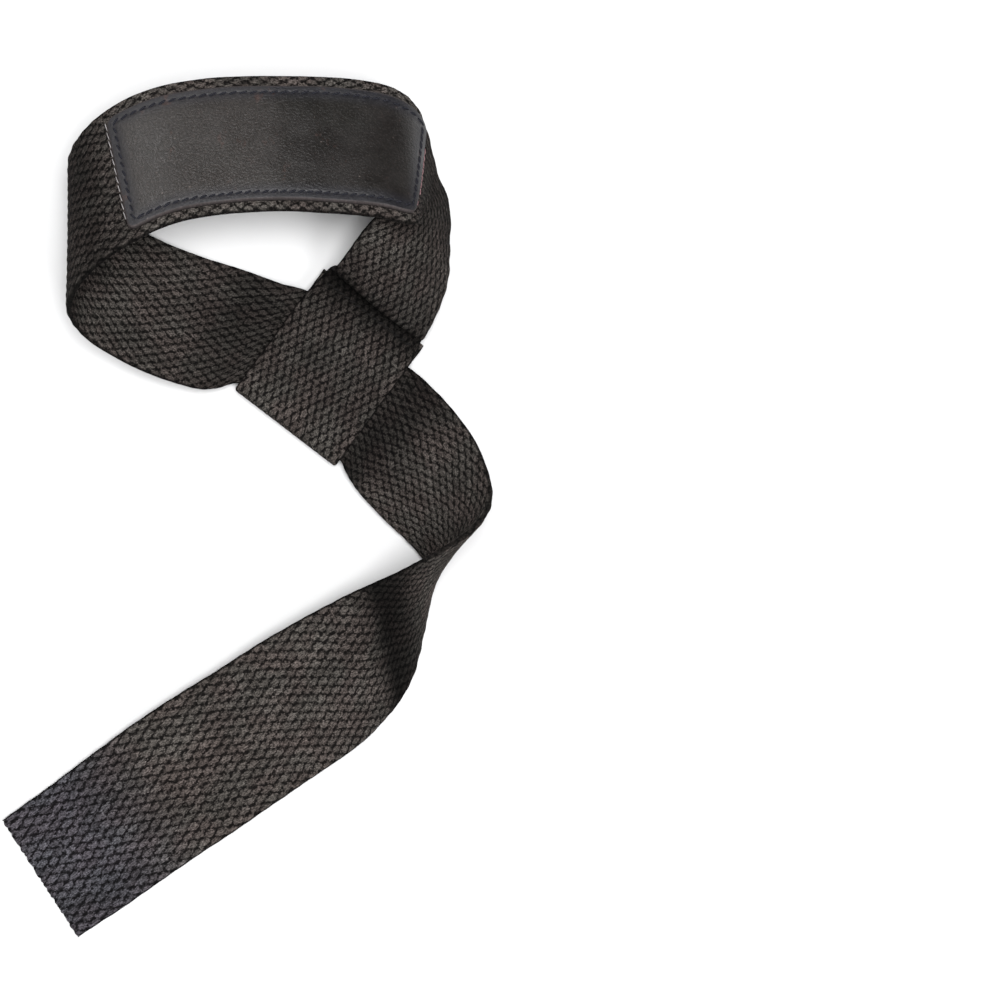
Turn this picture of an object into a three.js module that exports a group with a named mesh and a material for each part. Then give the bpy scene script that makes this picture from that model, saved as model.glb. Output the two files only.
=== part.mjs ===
// Weightlifting strap: one length of woven cotton webbing, laid on a table in a loose wrist loop.
// Its far end is folded back as a keeper that the strap runs through, and a leather patch is sewn
// on the loop. Millimetres, +Z up, resting on z = 0, plan centred on the origin.

import * as THREE from 'three';

// Strap sizes
const strapWidth = 38.4;
const webbingThickness = 2.0;
const selvageReach = 1.1;       // width of the thinner rounded border along each selvage
const selvageShare = 0.45;      // thickness left at the very edge, as a share of the webbing's
const layerGap = 0.3;           // clearance between layers that lie on each other

// Size of the laid strap, which the rows of the lay table are shares of
const layWidth = 136;
const layLength = 240;
const layHeight = 40;

// Keeper sizes. Distances along it count from the fold
const frontLength = 33;         // the flat front layer
const nearShare = 0.25;         // rows of both flat layers, as shares of frontLength
const farShare = 0.6;
const stepDistance = 39.5;      // where the front layer starts to climb to the crest
const wallDistance = 42.6;      // the foot of the crest
const stepRise = 0.6;
const wallRise = 2.4;
const keeperHeading = 53.7;     // direction from the fold towards the loop, degrees
const keeperCross = -37.4;      // direction of the fold line, degrees
const keeperWidthShare = 0.91;
const stepWidthShare = 0.87;
const wallWidthShare = 0.84;
const stepTilt = -2;            // degrees, selvage P lower
const wallTilt = -7;
const foldCentre = { x: 0.0723, y: 0.0826 };
const returnFlat = 34.8;        // the flat return layer, to just past the strap's selvage
const returnLength = 42;        // to its end, sewn up under the front layer
const seamRun = 6;              // the part of it that climbs

// Leather patch sizes
const leatherThickness = 1.2;
const patchMarginQ = 2.5;
const patchMarginP = 3.6;
const patchCorner = 2.4;

// Facets
const facetLength = 4.6;
const foldSteps = 8;
const seamSteps = 6;
const patchFacets = 26;
const webbingColumns = [0.18, 0.34, 0.5, 0.66, 0.82];   // between the two selvage borders
const patchColumns = [0, 0.2, 0.4, 0.6, 0.8, 1];
const cornerSteps = [0, 0.13, 0.4, 1];                  // shares of patchCorner

const layerPitch = webbingThickness + layerGap;
const returnHeight = webbingThickness / 2;
const passingHeight = returnHeight + layerPitch;
const frontHeight = passingHeight + layerPitch;
const layerShare = passingHeight / layHeight;

// Lay table, from the cut end to the crest above the keeper. x and y are the strap's centre as
// shares of layWidth and layLength, z as a share of layHeight. heading and tilt give the line from
// selvage Q to selvage P in degrees. width is the straight distance between the selvages and bow
// the rise of the strap's middle off that line, both as shares of strapWidth.
const layRows = [
  // name        x       y       z     heading tilt width bow
  ['cut_end',     -0.418, -0.433, 0.025, 122,   0, 1.00,  0.00],
  ['tail_a',      -0.320, -0.395, 0.034, 122,   0, 1.02,  0.00],
  ['tail_b',      -0.218, -0.353, 0.056, 122,   2, 1.04,  0.00],
  ['tail_c',      -0.110, -0.311, 0.085, 121,   4, 1.06,  0.00],
  ['tail_d',       0.006, -0.268, 0.113, 119,   7, 1.05,  0.00],
  ['tail_e',       0.114, -0.228, 0.152, 115,  11, 1.06,  0.02],
  ['crease_a',     0.186, -0.202, 0.186, 110,  14, 1.05,  0.04],
  ['ridge',        0.242, -0.179, 0.221, 105,  20, 1.03,  0.06],
  ['valley',       0.281, -0.163, 0.266, 102,  27, 1.02, -0.06],
  ['curl_a',       0.314, -0.142, 0.345, 100,  39, 1.02, -0.03],
  ['curl_b',       0.347, -0.109, 0.430,  95,  56, 0.99,  0.00],
  ['curl_c',       0.374, -0.082, 0.474,  82,  67, 0.99,  0.00],
  ['waist',        0.399, -0.062, 0.480,  60,  67, 1.00,  0.00],
  ['over_a',       0.411, -0.043, 0.455,  46,  60, 1.01,  0.00],
  ['over_b',       0.401, -0.019, 0.394,  35,  49, 0.98,  0.00],
  ['over_c',       0.366,  0.018, 0.297,  37,  33, 0.97,  0.00],
  ['over_d',       0.315,  0.058, 0.182,  41,  15, 0.92,  0.00],
  ['keeper_by',    0.274,  0.087, 0.112,  52,   2, 0.88,  0.00],
  ['keeper_in',    0.255,  0.100, layerShare,  54,   0, 0.84,  0.00],
  ['crossing',     0.153,  0.144, layerShare,  54,   0, 0.83,  0.00],
  ['keeper_out',   0.050,  0.188, layerShare,  54,   0, 0.83,  0.00],
  ['low_0',        0.003,  0.189, 0.098,  58,  -2, 0.89,  0.00],
  ['low_a',       -0.048,  0.195, 0.106,  66,  -9, 0.94,  0.00],
  ['low_b',       -0.137,  0.210, 0.139,  70, -14, 0.96,  0.00],
  ['low_c',       -0.225,  0.231, 0.176,  73, -19, 0.97,  0.00],
  ['roll_a',      -0.299,  0.256, 0.263,  80, -23, 1.00,  0.00],
  ['roll_b',      -0.343,  0.281, 0.425,  89, -24, 1.01,  0.00],
  ['roll_c',      -0.337,  0.307, 0.600,  94, -23, 1.05,  0.00],
  ['pad_a',       -0.305,  0.330, 0.688,  98, -22, 1.04,  0.00],
  ['pad_b',       -0.248,  0.355, 0.725, 102, -20, 1.03,  0.00],
  ['pad_c',       -0.164,  0.378, 0.750, 101, -18, 1.03,  0.00],
  ['pad_d',       -0.056,  0.390, 0.750,  97, -17, 1.03,  0.00],
  ['pad_e',        0.069,  0.394, 0.750,  92, -18, 1.03,  0.00],
  ['pad_f',        0.184,  0.393, 0.725,  86, -20, 1.06,  0.00],
  ['pad_g',        0.268,  0.388, 0.688,  83, -23, 1.06,  0.00],
  ['turn_a',       0.316,  0.378, 0.619,  84, -29, 1.05,  0.00],
  ['turn_b',       0.342,  0.362, 0.527,  80, -42, 0.97, -0.01],
  ['turn_c',       0.350,  0.347, 0.425,  65, -55, 0.86,  0.00],
  ['turn_d',       0.348,  0.331, 0.380,  22, -57, 0.81,  0.04],
  ['turn_e',       0.332,  0.307, 0.356, -16, -49, 0.84,  0.09],
  ['turn_f',       0.315,  0.279, 0.310, -25, -36, 0.86,  0.10],
  ['turn_g',       0.292,  0.252, 0.289, -31, -25, 0.84,  0.10],
  ['crest',        0.266,  0.227, 0.284, -38, -15, 0.83,  0.08],
];
const patchFirstRow = 'pad_b';
const patchLastRow = 'turn_a';
const patchReach = 0.55;        // how far the patch goes past its last row, in rows

const cos = (degrees) => Math.cos(THREE.MathUtils.degToRad(degrees));
const sin = (degrees) => Math.sin(THREE.MathUtils.degToRad(degrees));

function crossLine(heading, tilt) {
  return new THREE.Vector3(cos(tilt) * cos(heading), cos(tilt) * sin(heading), sin(tilt));
}

function tableRow([name, x, y, z, heading, tilt, width, bow]) {
  const centre = new THREE.Vector3(x * layWidth, y * layLength, z * layHeight);
  return { name, centre, cross: crossLine(heading, tilt), width, bow };
}

// A row of the keeper: how far its centre is from the fold, and how high
function keeperRow(name, distance, height, width = keeperWidthShare, tilt = 0) {
  const centre = new THREE.Vector3(
    foldCentre.x * layWidth + distance * cos(keeperHeading),
    foldCentre.y * layLength + distance * sin(keeperHeading),
    height,
  );
  return { name, centre, cross: crossLine(keeperCross, tilt), width, bow: 0 };
}

function keeperRows() {
  const radius = (frontHeight - returnHeight) / 2;
  const start = radius + webbingThickness / 2;
  const rows = [
    keeperRow('wall', wallDistance, frontHeight + wallRise, wallWidthShare, wallTilt),
    keeperRow('step', stepDistance, frontHeight + stepRise, stepWidthShare, stepTilt),
    keeperRow('front_a', frontLength, frontHeight),
    keeperRow('front_b', farShare * frontLength, frontHeight),
    keeperRow('front_c', nearShare * frontLength, frontHeight),
  ];
  for (let step = 0; step <= foldSteps; step += 1) {
    const angle = (180 * step) / foldSteps;
    const distance = start - radius * sin(angle);
    rows.push(keeperRow('fold', distance, passingHeight + radius * cos(angle)));
  }
  rows.push(keeperRow('return_a', nearShare * frontLength, returnHeight));
  rows.push(keeperRow('return_b', farShare * frontLength, returnHeight));
  for (let step = 0; step <= seamSteps; step += 1) {
    const share = step / seamSteps;
    const height = returnHeight + layerPitch * THREE.MathUtils.smootherstep(share, 0, 1);
    rows.push(keeperRow('seam', returnFlat + share * seamRun, height));
  }
  rows.push(keeperRow('return_end', returnLength, passingHeight));
  return rows;
}

// Three guide curves run through all rows: selvage Q, the strap's middle and selvage P
function guideCurves(rows) {
  const lines = { q: [], m: [], p: [] };
  rows.forEach((row, i) => {
    const before = rows[Math.max(i - 1, 0)].centre;
    const after = rows[Math.min(i + 1, rows.length - 1)].centre;
    const along = after.clone().sub(before).normalize();
    const face = along.cross(row.cross).normalize();
    const half = (row.width * strapWidth) / 2;
    lines.q.push(row.centre.clone().addScaledVector(row.cross, -half));
    lines.p.push(row.centre.clone().addScaledVector(row.cross, half));
    lines.m.push(row.centre.clone().addScaledVector(face, row.bow * strapWidth));
  });
  const curve = (points) => new THREE.CatmullRomCurve3(points, false, 'centripetal');
  return { q: curve(lines.q), m: curve(lines.m), p: curve(lines.p), last: rows.length - 1 };
}

// Point on the strap's middle surface: t counts rows, v runs from selvage Q to selvage P
function strapPoint(guides, t, v) {
  const u = Math.min(Math.max(t / guides.last, 0), 1);
  const q = guides.q.getPoint(u);
  const m = guides.m.getPoint(u);
  const p = guides.p.getPoint(u);
  return new THREE.Vector3()
    .addScaledVector(q, (1 - v) * (1 - 2 * v))
    .addScaledVector(m, 4 * v * (1 - v))
    .addScaledVector(p, v * (2 * v - 1));
}

// Direction out of the patch side of the webbing
function strapNormal(guides, t, v) {
  const step = 0.04;
  const low = Math.max(t - step, 0);
  const high = Math.min(t + step, guides.last);
  const along = strapPoint(guides, high, v).sub(strapPoint(guides, low, v));
  const across = strapPoint(guides, t, v + step).sub(strapPoint(guides, t, v - step));
  return along.cross(across).normalize();
}

// Closed sheet between two grids of points with the same layout
function closedSheet(upper, lower) {
  const rowCount = upper.length;
  const columnCount = upper[0].length;
  const positions = [];
  [upper, lower].forEach((grid) => grid.forEach((line) => line.forEach((point) => {
    positions.push(point.x, point.y, point.z);
  })));
  const at = (side, i, j) => (side * rowCount + i) * columnCount + j;
  const index = [];
  const quad = (a, b, c, d) => index.push(a, b, c, a, c, d);
  for (let i = 0; i < rowCount - 1; i += 1) {
    for (let j = 0; j < columnCount - 1; j += 1) {
      quad(at(0, i, j), at(0, i + 1, j), at(0, i + 1, j + 1), at(0, i, j + 1));
      quad(at(1, i, j), at(1, i, j + 1), at(1, i + 1, j + 1), at(1, i + 1, j));
    }
    const last = columnCount - 1;
    quad(at(0, i, 0), at(1, i, 0), at(1, i + 1, 0), at(0, i + 1, 0));
    quad(at(0, i, last), at(0, i + 1, last), at(1, i + 1, last), at(1, i, last));
  }
  for (let j = 0; j < columnCount - 1; j += 1) {
    const last = rowCount - 1;
    quad(at(0, 0, j), at(0, 0, j + 1), at(1, 0, j + 1), at(1, 0, j));
    quad(at(0, last, j), at(1, last, j), at(1, last, j + 1), at(0, last, j + 1));
  }
  const geometry = new THREE.BufferGeometry();
  geometry.setAttribute('position', new THREE.Float32BufferAttribute(positions, 3));
  geometry.setIndex(index);
  geometry.computeVertexNormals();
  return geometry;
}

// Where the webbing is cut into facets along its length, counted in rows
function stations(guides) {
  const list = [0];
  for (let row = 0; row < guides.last; row += 1) {
    const from = strapPoint(guides, row, 1);
    const length = Math.max(
      from.distanceTo(strapPoint(guides, row + 1, 1)),
      strapPoint(guides, row, 0).distanceTo(strapPoint(guides, row + 1, 0)),
    );
    const count = Math.max(1, Math.round(length / facetLength));
    for (let k = 1; k <= count; k += 1) {
      list.push(row + k / count);
    }
  }
  return list;
}

function buildWebbing(guides) {
  const rim = selvageReach / strapWidth;
  const columns = [0, rim, ...webbingColumns, 1 - rim, 1];
  const upper = [];
  const lower = [];
  stations(guides).forEach((t) => {
    const top = [];
    const bottom = [];
    columns.forEach((v) => {
      const share = v === 0 || v === 1 ? selvageShare : 1;
      const half = (share * webbingThickness) / 2;
      const point = strapPoint(guides, t, v);
      const normal = strapNormal(guides, t, v);
      top.push(point.clone().addScaledVector(normal, half));
      bottom.push(point.clone().addScaledVector(normal, -half));
    });
    upper.push(top);
    lower.push(bottom);
  });
  return closedSheet(upper, lower);
}

function buildPatch(guides, firstRow, lastRow) {
  const length = strapPoint(guides, firstRow, 0.5).distanceTo(strapPoint(guides, lastRow, 0.5));
  const cornerShare = patchCorner / length;
  const steps = cornerSteps.map((share) => share * cornerShare);
  const middle = [];
  for (let k = 1; k < patchFacets; k += 1) {
    middle.push(cornerShare + ((1 - 2 * cornerShare) * k) / patchFacets);
  }
  const shares = [...steps, ...middle, ...steps.map((share) => 1 - share).reverse()];
  const base = webbingThickness / 2 + layerGap;
  const upper = [];
  const lower = [];
  shares.forEach((share) => {
    const t = firstRow + (lastRow - firstRow) * share;
    const reach = Math.min(share, 1 - share) * length;
    const short = Math.max(0, patchCorner - reach);
    const inset = patchCorner - Math.sqrt(patchCorner ** 2 - short ** 2);
    const from = (patchMarginQ + inset) / strapWidth;
    const to = 1 - (patchMarginP + inset) / strapWidth;
    const top = [];
    const bottom = [];
    patchColumns.forEach((w) => {
      const v = from + (to - from) * w;
      const point = strapPoint(guides, t, v);
      const normal = strapNormal(guides, t, v);
      top.push(point.clone().addScaledVector(normal, base + leatherThickness));
      bottom.push(point.clone().addScaledVector(normal, base));
    });
    upper.push(top);
    lower.push(bottom);
  });
  return closedSheet(upper, lower);
}

function namedMesh(name, geometry, color, roughness) {
  const material = new THREE.MeshStandardMaterial({ color, roughness, metalness: 0 });
  const mesh = new THREE.Mesh(geometry, material);
  mesh.name = name;
  return mesh;
}

const rows = [...layRows.map(tableRow), ...keeperRows()];
const guides = guideCurves(rows);
const rowNumber = (name) => rows.findIndex((row) => row.name === name);
const webbing = buildWebbing(guides);
const patchEnd = rowNumber(patchLastRow) + patchReach;
const patch = buildPatch(guides, rowNumber(patchFirstRow), patchEnd);

// Centre the plan on the origin and set the lowest point on the table
webbing.computeBoundingBox();
const box = webbing.boundingBox;
const shift = new THREE.Vector3(-(box.min.x + box.max.x) / 2, -(box.min.y + box.max.y) / 2, -box.min.z);
webbing.translate(shift.x, shift.y, shift.z);
patch.translate(shift.x, shift.y, shift.z);

const part = new THREE.Group();
part.name = 'weightlifting_strap';
part.add(namedMesh('webbing', webbing, 0x2f2b2b, 0.92));
part.add(namedMesh('leather_patch', patch, 0x2a2527, 0.55));

export default part;
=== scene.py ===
"""Weightlifting strap: woven cotton webbing laid in a loose wrist loop, with a sewn leather patch.

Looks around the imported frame. Metres, +Z up, in the frame's own coordinates.
"""

import math

import bpy
import numpy as np
from mathutils import Matrix, Vector


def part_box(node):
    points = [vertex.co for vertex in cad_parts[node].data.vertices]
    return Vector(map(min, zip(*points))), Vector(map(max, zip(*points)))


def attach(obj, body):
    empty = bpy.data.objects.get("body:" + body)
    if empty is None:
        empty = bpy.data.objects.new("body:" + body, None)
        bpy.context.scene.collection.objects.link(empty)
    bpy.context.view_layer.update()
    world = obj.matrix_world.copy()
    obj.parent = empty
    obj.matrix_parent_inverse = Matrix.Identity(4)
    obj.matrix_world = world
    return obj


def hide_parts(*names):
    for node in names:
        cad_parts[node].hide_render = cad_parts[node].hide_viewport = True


# Strap sizes, as in the frame
STRAP_WIDTH = 0.0384
WEBBING_THICKNESS = 0.0020
LAYER_GAP = 0.0003
LAY_SIZE = (0.136, 0.240, 0.040)

# Keeper sizes. Distances along it count from the fold
FRONT_LENGTH = 0.033
NEAR_SHARE = 0.25
FAR_SHARE = 0.6
STEP_DISTANCE = 0.0395
WALL_DISTANCE = 0.0426
STEP_RISE = 0.0006
WALL_RISE = 0.0024
KEEPER_HEADING = 53.7
KEEPER_CROSS = -37.4
KEEPER_WIDTH_SHARE = 0.91
STEP_WIDTH_SHARE = 0.87
WALL_WIDTH_SHARE = 0.84
STEP_TILT = -2
WALL_TILT = -7
FOLD_CENTRE = (0.0723, 0.0826)
RETURN_FLAT = 0.0348
RETURN_LENGTH = 0.042
SEAM_RUN = 0.006
FOLD_STEPS = 8
SEAM_STEPS = 6

LAYER_PITCH = WEBBING_THICKNESS + LAYER_GAP
RETURN_HEIGHT = WEBBING_THICKNESS / 2
PASSING_HEIGHT = RETURN_HEIGHT + LAYER_PITCH
FRONT_HEIGHT = PASSING_HEIGHT + LAYER_PITCH
LAYER_SHARE = PASSING_HEIGHT / LAY_SIZE[2]

# Strap surface
CURVE_STEPS = 80            # steps per row, where lengths along the strap are measured
BOX_STEPS = 12              # steps per row, where the strap's box is measured
BOX_COLUMNS = 9             # columns from selvage to selvage there
NORMAL_STEP = 0.04          # reach of the differences that give the normals, in rows and widths
RIM_THICKNESS_SHARE = 0.45  # thickness of the frame's webbing at its selvages, against its middle

# Weave
WARP_ROWS = 30
FLOAT_PITCH = 0.0045        # along one warp row, from float to float
FLOAT_LENGTH = 0.67         # reach of one float, as a share of half the pitch
FLOAT_WIDTH = 0.745         # reach of one float, as a share of a warp row
FLOAT_HEIGHT = 0.00032
CROWN_SPREAD = (0.80, 1.0)  # lowest and highest crown, as shares of FLOAT_HEIGHT
FLOAT_SLOPE = (0.15, 1.35)  # where a float starts to fall and where it ends, in reaches
CELLS = 64                  # floats after which the crowns' heights repeat
CROWN_SEED = 5
FOLD_CALM = 0.75            # how much the weave is pressed flat where the keeper folds
FOLD_REACH = 0.0055         # length on each side of the fold's middle over which it is
FOLD_CORE = 0.4             # part of that length where it is pressed in full
PRESSED_RELIEF = 0.6        # relief of the pressed weave, as a share of a float's height
STATIONS_PER_PITCH = 6
TAIL_STRETCH = 0.78         # tightness of the weave near the cut end, against the rest
TAIL_STRETCH_ENDS = (0.060, 0.105)
LONGEST = 0.7               # more than the strap's length
LENGTH_STEPS = 3000         # steps in which the weave's own length is added up
RIM_COLUMNS = (0.0, 0.00007, 0.0003)    # distances of the outermost columns from the selvage
RIM_LEAST = 0.06            # half thickness left at the very selvage, as a share of the middle's
SELVAGE_RADIUS = 0.0009
SELVAGE_SCALLOP = 0.00005
SELVAGE_WOBBLE = 0.00008
WOBBLE_WAVES = (0.011, 0.019, 0.034)
WOBBLE_SHARE = (0.4, 1.0)   # each wave's least and most share of the wobble
WOBBLE_PHASE = 6            # each wave starts up to this many radians along
WOBBLE_SEED = 11
END_FRAY = 0.00025
FRAY_STATIONS = 2           # how far the fraying reaches from the cut end, in stations

# Weave colours
YARN_DARK = (0.0286, 0.0249, 0.0230)
YARN_LIGHT = (0.0440, 0.0391, 0.0363)
# painted shade in the grooves between the plies
PLY_GROOVE_SHADE = (0.0140, 0.0124, 0.0118)   # between the plies
# painted shade in the pits between the floats
PAINTED_PIT_SHADE = (0.0034, 0.0030, 0.0028)
FLECK = (0.140, 0.133, 0.126)
COOL_TINT = (0.985, 1.01, 0.985)
WARM_TINT = (1.05, 0.985, 0.97)
NAVY_TINT = (0.86, 0.97, 1.30)
NAVY_END = 0.036            # how far the bluer dye reaches from the cut end
NAVY_SHARE = 0.75

# Weave patterns: how strong they are
FLOAT_DRIFT = (0.55, 0.34)  # how far noise shifts the floats, along and across
DRIFT_MIDDLE = (0.27, 0.17)     # what the noise adds on average, taken off again
TWIST_WAVES = (15.0, 13.0)  # radians of ply twist over half a pitch along and over a row across
PLY_SHARE = 0.25
TWIST_BUMP = 0.16
FUZZ_BUMP = 0.35

# Weave patterns: the range that is read, and what its two ends give, where that isn't 0 and 1
FLOAT_ROUGHNESS = (0.32, 0.68, -0.34, 0.34)
RELIEF_REACH = (1.36, 0.40)
FIBRE_SHADES = (0.36, 0.64, 0.45, 1.70)
# painted highlight on the floats' crowns and painted shade lower on their sides
PAINTED_CROWN_LIGHT = (0.35, 1.0, 0.70, 1.20)
FLECK_SHARES = (0.72, 0.80, 0.0, 0.55)
# relief over which the painted shade of the pits gives way to the yarn
PIT_SHADE_RELIEF = (0.0, 0.75)
FUZZ_SHADES = (0.36, 0.64, 0.55, 1.60)
MOTTLE_SHADES = (0.25, 0.75, 0.80, 1.20)
SELVAGE_SHADES = (0.00015, 0.00065, 0.22, 1.0)
TINT_PATCHES = (0.38, 0.62)

# Painted shade: darker stretches where the strap lies in shade, in its crease, round the roll, by the
# keeper and under the crest. Middle row, reach to each side, depth
PAINTED_SHADE_BANDS = [
    ("valley", 0.0122, 0.86),
    ("curl_a", 0.0125, 0.66),
    ("over_d", 0.0150, 0.20),
    ("keeper_by", 0.0165, 0.72),
    ("low_0", 0.0220, 0.54),
    ("low_b", 0.0340, 0.27),
    ("roll_b", 0.0190, 0.42),
    ("pad_a", 0.0170, 0.62),
    ("turn_d", 0.0190, 0.52),
    ("turn_g", 0.0130, 0.30),
    ("wall", 0.0170, 0.90),
    ("front_b", 0.0260, 0.38),
]

# Leather patch
LEATHER_THICKNESS = 0.0012
LEATHER_LIFT = 0.0001       # clearance over the webbing's floats
PATCH_MARGIN_Q = 0.0025
PATCH_MARGIN_P = 0.0036
PATCH_CORNER = 0.0024
PATCH_EDGE_ROUND = 0.0006
PATCH_GRID = (230, 84)
PATCH_CROWDING = (0.35, 0.55)   # how much its lines crowd towards the ends and the sides
SEAM_INSET = 0.0021
SEAM_GROOVE_DEPTH = 0.00010
SEAM_GROOVE_WIDTH = 0.00042
EDGE_DROP = 0.55            # how far the rounded edge drops, as a share of the thickness
EDGE_SAG = 0.00012          # how much the leather is drawn down at its edge
SAG_REACH = 3.2             # how far inwards the sag reaches, in seam insets
SEAM_CORNER = PATCH_CORNER * 0.35
CORNER_POINTS = 9

# Leather colours
LEATHER_DARK = (0.0052, 0.0042, 0.0038)
LEATHER_LIGHT = (0.0118, 0.0095, 0.0085)
LEATHER_CLOUD = (0.0098, 0.0092, 0.0078)
# painted sheen: lighter, browner colour over the patch's first half, standing in for a reflection
LEATHER_PAINTED_SHEEN = (0.029, 0.0238, 0.0212)
LEATHER_MARGIN = (0.0064, 0.0067, 0.0116)
LEATHER_RAW = (0.034, 0.024, 0.022)
SPECK = (0.110, 0.090, 0.082)
RED_FLECK = (0.036, 0.017, 0.013)

# Leather patterns: how strong they are
# strength of the painted sheen
PAINTED_SHEEN_SHARE = 0.45
MARGIN_SHARE = 0.6
RAW_SHARE = 0.6
MARGIN_ROUGHNESS = 0.12     # added along the seam
RAW_ROUGHNESS = 0.3         # added at the raw edge
PEBBLE_BUMP = 0.55
PORE_BUMP = 0.30
CREASE_BUMP = 0.22
CREASE_WIDTH = 0.10

# Leather patterns: the range that is read, and what its two ends give, where that isn't 0 and 1
CLOUD_SHARES = (0.42, 0.66, 0.0, 0.5)
PAINTED_SHEEN_SPAN = (0.62, 0.40)  # in patch lengths from the patch's start
MARGIN_SPAN = (2.6, 0.9)    # in seam insets from the edge
RAW_SPAN = (0.00075, 0.00025)
SPECK_SHARES = (0.755, 0.80, 0.0, 0.7)
RED_SHARES = (0.60, 0.72, 0.0, 0.6)
PEBBLE_SHADES = (0.15, 0.60, 1.25, 0.70)
PORE_SHADES = (0.36, 0.64, 0.70, 1.35)
WORN_ROUGHNESS = (0.3, 0.7, 0.29, 0.43)

# Texture map
MAP_STRIPS = 3              # strips that each face of the webbing is cut into
MAP_MARGIN = 0.03           # free margin round a strip, as a share of its length and width
MAP_RIM = 0.02              # how far a rim is folded out, as a share of the width

# Thread
STITCH_PITCH = 0.0025
STITCH_SHARE = 0.86
STITCH_RADIUS = 0.00030
STITCH_SLANT = 0.00034
STITCH_POINTS = 9
STITCH_SEED = 23
SLANT_SPREAD = (0.75, 1.25)
LENGTH_SPREAD = (0.93, 1.05)
STITCH_SINK = 0.9           # depth of a stitch's ends in the patch or webbing, in thread radii
FACE_BULGE = 1.35           # rise of a stitch's middle over its ends, in thread radii
BACK_BULGE = 1.2
KEEPER_BULGE = 1.5
THREAD_SIDES = 8
THREAD_TAPER = 6            # the higher, the blunter a thread's ends
THREAD_TIP = 0.12           # square of the share of the radius that is left at the ends
SEAM_DISTANCE = 0.0362      # of the keeper's seam from the fold
SEAM_SPAN = (0.07, 0.93)    # from selvage to selvage, as shares of the width
SEAM_STITCH_PITCH = 0.0022
SEAM_SEARCH_STEPS = 200
LOOSE_THREAD_RADIUS = 0.00013
LOOSE_THREAD_DEPTH = 0.35   # below the leather's face, as a share of its thickness
PALE_THREAD_SPAN = (0.10, 0.98)
PINK_THREAD_SPAN = (0.22, 0.78)
PINK_LOOP_PLACE = 0.14      # across the patch, as a share of its width
PINK_LOOP_RADIUS = 0.0009
PINK_LOOP_FLATTENING = 0.6
LOOP_POINTS = 15
THREAD_GUIDE = (0.13, 0.21, 0.97)   # a direction that no thread runs along

# Thread colours: darker and lighter fibres
BLACK_THREAD = ((0.006, 0.006, 0.008), (0.030, 0.031, 0.040))
CHARCOAL_THREAD = ((0.004, 0.0036, 0.0034), (0.010, 0.009, 0.0085))
PALE_THREAD = ((0.16, 0.15, 0.15), (0.42, 0.40, 0.40))
PINK_THREAD = ((0.15, 0.08, 0.085), (0.36, 0.22, 0.23))
THREAD_FUZZ = 0.4           # height of the fuzz against the ply lines

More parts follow.
